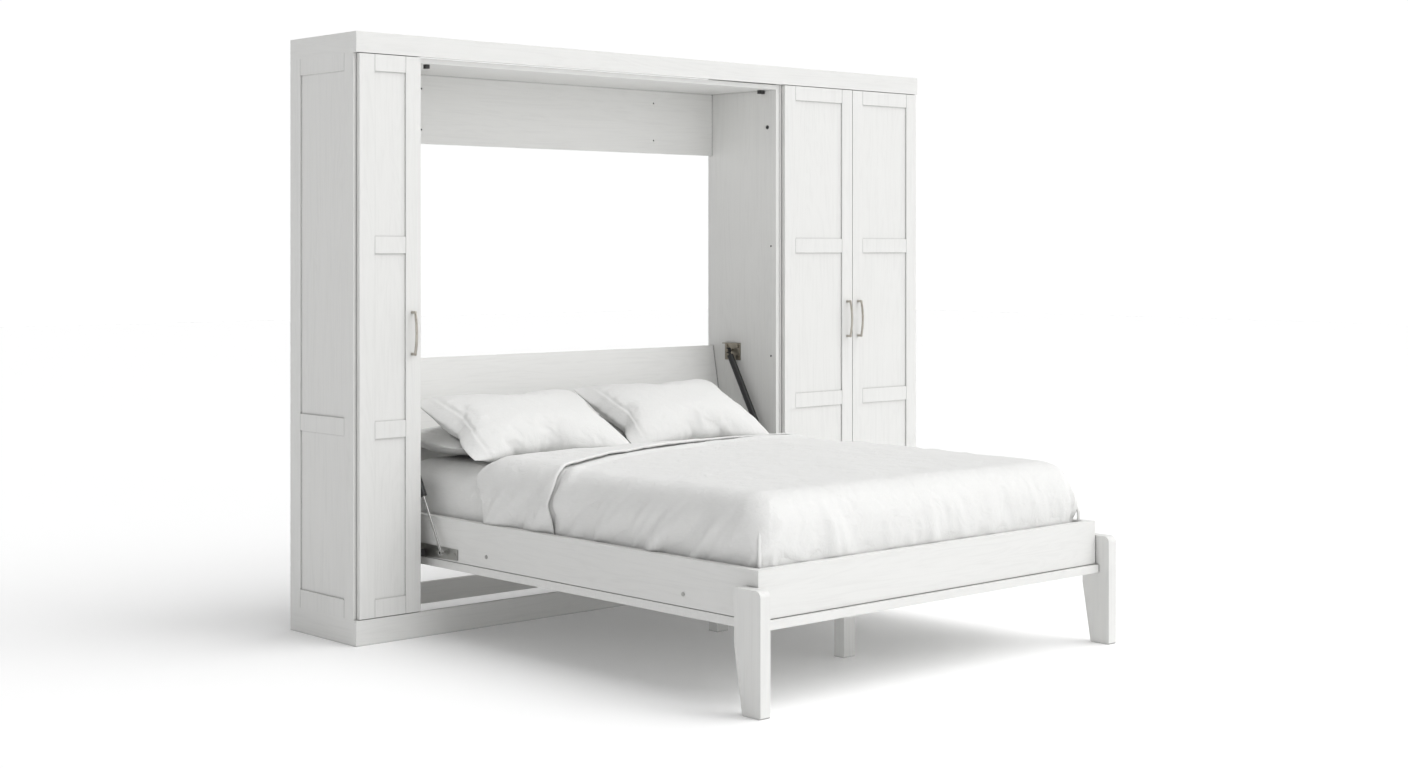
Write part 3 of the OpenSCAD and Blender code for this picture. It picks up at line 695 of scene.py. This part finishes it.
def gather(made, grid, nx, ny, seed):
    """Small pleats that run in from the seam of the case's open end and from its far end."""
    for (i, j, side), index in grid.items():
        w = 2 * j / ny - 1
        from_seam = (i - BAND_COLUMNS) * PILLOW_STEP
        from_end = (nx - i) * PILLOW_STEP
        away = from_seam if from_seam > 0 else 1.0
        close = smooth(1 - away / 0.17) + 0.7 * smooth(1 - from_end / 0.15)
        v = made.data.vertices[index]
        pleat = noise.noise(Vector((v.co.x / 0.11, v.co.y / 0.021, seed + 5.0 * side)))
        rise = max(0.0, 1 - w * w)
        v.co.z += 0.0075 * close * pleat * rise * (1 if side else -1)


def flatten_band(made, grid, ny):
    """Straighten the case's open end between its mouth and the seam, and pinch the seam."""
    vertices = made.data.vertices
    for side in (0, 1):
        for j in range(1, ny):
            start = vertices[grid[(0, j, 0)]].co.copy()
            end = vertices[grid[(BAND_COLUMNS, j, side)]].co.copy()
            for step in range(1, BAND_COLUMNS):
                v = vertices[grid[(step, j, side)]]
                v.co = v.co.lerp(start.lerp(end, step / BAND_COLUMNS), 0.85)
            seam = vertices[grid[(BAND_COLUMNS, j, side)]]
            seam.co.z *= 0.87
            hem = vertices[grid[(BAND_COLUMNS - 1, j, side)]]
            hem.co.z *= 1.03


def fit_to(made, size):
    """Centre the mesh and scale it to size."""
    points = np.array([v.co for v in made.data.vertices])
    low, high = points.min(0), points.max(0)
    scale = np.array(size) / (high - low)
    for v in made.data.vertices:
        v.co = [(v.co[k] - (low[k] + high[k]) / 2) * scale[k] for k in range(3)]


def smooth_over(made):
    divide = made.modifiers.new("divide", "SUBSURF")
    divide.levels = 1
    divide.render_levels = divide.levels
    apply_modifiers(made)
    for face in made.data.polygons:
        face.use_smooth = True


LYING_Z = 0.6375
ON_TURNDOWN_Z = 0.656
TURNED_Y = cad(0, -210, 0).y


def place_pillow(made, front_edge, lean):
    """Set the pillow down leaning back from its front edge, with its underside pressed flat
    towards the bed."""
    turn = Matrix.Rotation(lean, 3, "X")
    half = 0.5 * (max(v.co.y for v in made.data.vertices) - min(v.co.y for v in made.data.vertices))
    for v in made.data.vertices:
        p = v.co.copy()
        p.y += half
        v.co = turn @ p + front_edge
    for v in made.data.vertices:
        floor_z = LYING_Z if v.co.y > TURNED_Y else ON_TURNDOWN_Z
        if v.co.z < floor_z:
            v.co.z = floor_z + 0.03 * (v.co.z - floor_z)


def lay(piece, slot, *cad_nodes):
    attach(piece, "bed")
    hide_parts(*cad_nodes)


mattress = make_mattress()
lay(mattress, "mattress_ticking", "mattress")

fitted = make_fitted_sheet()
lay(fitted, "white_cotton", "fitted_sheet")

duvet = make_duvet()
lay(duvet, "white_cotton", "duvet")
mitres = [make_mitre("duvet_mitre_left", -1), make_mitre("duvet_mitre_right", 1)]
for mitre in mitres:
    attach(mitre, "bed")

turndown = make_turndown()
lay(turndown, "white_cotton", "top_sheet")

# Each cover piece gets its own copy of its mesh
for piece in (duvet, turndown, *mitres):
    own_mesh(piece)

# Each pillow's size, the middle of its front edge and its lean in degrees
PILLOWS = {
    "front_pillow_left": ((0.765, 0.45, 0.180), cad(752, -200, 650), 27),
    "front_pillow_right": ((0.745, 0.45, 0.180), cad(1512, -192, 650), 28),
    "rear_pillow_left": ((0.740, 0.42, 0.125), cad(760, -40, 684), 2),
    "rear_pillow_right": ((0.740, 0.42, 0.125), cad(1518, -40, 684), 2),
}
for seed, (cad_node, (size, edge, lean)) in enumerate(PILLOWS.items()):
    pillow = make_pillow(cad_node + "_case", size, 3.7 * seed)
    place_pillow(pillow, edge, math.radians(lean))
    lay(pillow, "white_cotton", cad_node)
    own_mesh(pillow)

# ---------------------------------------------------------------- stage, light and camera

def make_floor():
    data = bpy.data.meshes.new("floor")
    data.from_pydata([(-30, -30, 0), (30, -30, 0), (30, 30, 0), (-30, 30, 0)], [], [(0, 1, 2, 3)])
    floor = bpy.data.objects.new("floor", data)
    bpy.context.scene.collection.objects.link(floor)
    material, tree, shader = new_material("studio_floor")
    shader.inputs["Base Color"].default_value = (0.97, 0.97, 0.97, 1)
    shader.inputs["Roughness"].default_value = 0.9
    shader.inputs["Emission Color"].default_value = (1, 1, 1, 1)
    shader.inputs["Emission Strength"].default_value = 0.05
    shader.inputs["Specular IOR Level"].default_value = 0.1
    data.materials.append(material)


def area_light(name, place, target, size, power):
    light = bpy.data.lights.new(name, "AREA")
    light.shape = "RECTANGLE"
    light.size, light.size_y = size
    light.energy = power
    made = bpy.data.objects.new(name, light)
    made.location = place
    direction = Vector(target) - Vector(place)
    made.rotation_mode = "QUATERNION"
    made.rotation_quaternion = direction.to_track_quat("-Z", "Y")
    bpy.context.scene.collection.objects.link(made)


KEY_FROM = (0.38, -0.40, 0.84)
KEY_FOCUS = 6.0
KEY_STRENGTH = 3.3
HORIZON = 1.02
SKY = 0.27
BAND_RISE = (0.13, 0.30)


def studio_world():
    """White all round the horizon, dim above it, with one broad soft light from the upper
    front right."""
    world = bpy.data.worlds.new("studio")
    bpy.context.scene.world = world
    world.use_nodes = True
    tree = world.node_tree
    background = tree.nodes["Background"]
    place = tree.nodes.new("ShaderNodeTexCoord")
    direction = place.outputs["Generated"]
    lobe = tree.nodes.new("ShaderNodeVectorMath")
    lobe.operation = "DOT_PRODUCT"
    lobe.inputs[1].default_value = Vector(KEY_FROM).normalized()
    tree.links.new(direction, lobe.inputs[0])
    ahead = calculate(tree, "MAXIMUM", lobe.outputs["Value"], 0.0)
    soft = calculate(tree, "POWER", ahead, KEY_FOCUS)
    key = calculate(tree, "MULTIPLY", soft, KEY_STRENGTH)
    split = tree.nodes.new("ShaderNodeSeparateXYZ")
    tree.links.new(direction, split.inputs[0])
    band = remap(tree, split.outputs["Z"], BAND_RISE, (HORIZON, SKY))
    total = calculate(tree, "ADD", key, band)
    tree.links.new(total, background.inputs["Strength"])
    background.inputs["Color"].default_value = (1, 1, 1, 1)


make_floor()
studio_world()
area_light("front_right", (2.0, -6.8, 4.6), (-0.3, 0.8, 0.9), (2.6, 2.2), 45)

camera_data = bpy.data.cameras.new("camera")
camera_data.lens = 51.93
camera_data.sensor_width = 36.0
camera_data.shift_y = -0.0961
camera_data.clip_end = 100
camera = bpy.data.objects.new("camera", camera_data)
camera.location = cad(-3965, -6180, 1420)
camera.rotation_euler = (math.radians(90), 0, math.radians(-42.4))
bpy.context.scene.collection.objects.link(camera)
bpy.context.scene.camera = camera
bpy.context.scene.view_settings.view_transform = "Standard"
